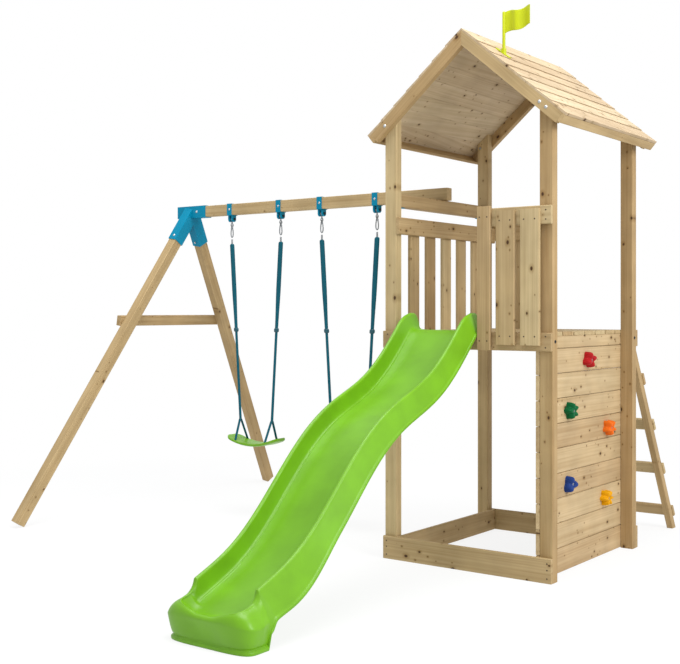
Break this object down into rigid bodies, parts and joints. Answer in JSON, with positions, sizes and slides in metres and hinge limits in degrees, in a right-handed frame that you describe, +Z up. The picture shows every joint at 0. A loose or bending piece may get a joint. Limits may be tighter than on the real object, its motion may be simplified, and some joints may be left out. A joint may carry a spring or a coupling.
{
  "type": "wooden climbing frame",
  "caption": "Roofed wooden play tower with a wavy slide, a climbing wall with holds, a ladder and a beam on an A-frame that carries two swings.",
  "frame": {"origin": "on the ground under the middle of the whole part's box", "axes": "+Z up, the slide runs out towards -Y, the swings stand on the -X side of the tower"},
  "size_m": [3.3316, 3.4767, 2.8396],
  "materials": {
    "pine": "pressure-treated pine, planed, with grain and knots",
    "lime_plastic": "blow-moulded polyethylene, satin gloss",
    "flag_plastic": "moulded plastic, satin gloss",
    "blue_powder_coat": "powder coat on folded steel",
    "zinc_steel": "zinc-plated steel",
    "black_steel": "black coated steel",
    "teal_webbing": "woven tubular webbing",
    "dark_plastic": "moulded buckle plastic",
    "hold_red": "moulded, lightly grained",
    "hold_green": "moulded, lightly grained",
    "hold_orange": "moulded, lightly grained",
    "hold_blue": "moulded, lightly grained",
    "hold_yellow": "moulded, lightly grained"
  },
  "bodies": {
    "frame": {"post_front_left": "pine", "post_front_right": "pine", "post_back_left": "pine", "post_back_right": "pine", "base_board_front": "pine", "base_board_left": "pine", "base_board_back": "pine", "deck_fascia_front": "pine", "deck_fascia_back": "pine", "deck_joists": "pine", "deck_boards": "pine", "left_top_rail": "pine", "left_balusters": "pine", "beam_rail": "pine", "beam_rail_brackets": "blue_powder_coat", "front_panel_rail": "pine", "front_panel_boards": "pine", "back_panel_rail": "pine", "back_panel_boards": "pine", "climbing_wall_boards": "pine", "hold_red": "hold_red", "hold_green": "hold_green", "hold_orange": "hold_orange", "hold_blue": "hold_blue", "hold_yellow": "hold_yellow", "hold_bolts": "zinc_steel", "ladder_stiles": "pine", "ladder_rungs": "pine", "rafter_front_left": "pine", "rafter_front_right": "pine", "rafter_back_left": "pine", "rafter_back_right": "pine", "roof_boards_left": "pine", "roof_boards_right": "pine", "eave_board_left": "pine", "eave_board_right": "pine", "flag_base": "flag_plastic", "flag": "flag_plastic", "slide": "lime_plastic", "swing_beam": "pine", "a_frame_connector": "blue_powder_coat", "leg_front": "pine", "leg_back": "pine", "a_frame_brace": "pine", "beam_brackets": "blue_powder_coat", "pivot_pins": "black_steel", "rafter_bolts": "zinc_steel", "deck_bolts": "black_steel", "connector_bolts": "zinc_steel", "bracket_bolts": "zinc_steel"},
    "left_swing": {"left_swing_eyes": "zinc_steel", "left_swing_hooks": "zinc_steel", "left_swing_straps": "teal_webbing", "left_swing_buckles": "dark_plastic", "left_swing_seat": "lime_plastic"},
    "right_swing": {"right_swing_eyes": "zinc_steel", "right_swing_hooks": "zinc_steel", "right_swing_straps": "teal_webbing", "right_swing_buckles": "dark_plastic", "right_swing_seat": "lime_plastic"}
  },
  "joints": [
    {"name": "left_swing_pivot", "type": "hinge", "parent": "frame", "child": "left_swing", "pos_m": [-0.74548, 0.52047, 1.898], "axis": [1, 0, 0], "range_deg": [-50, 50]},
    {"name": "right_swing_pivot", "type": "hinge", "parent": "frame", "child": "right_swing", "pos_m": [-0.01048, 0.52047, 1.898], "axis": [1, 0, 0], "range_deg": [-50, 50]}
  ]
}
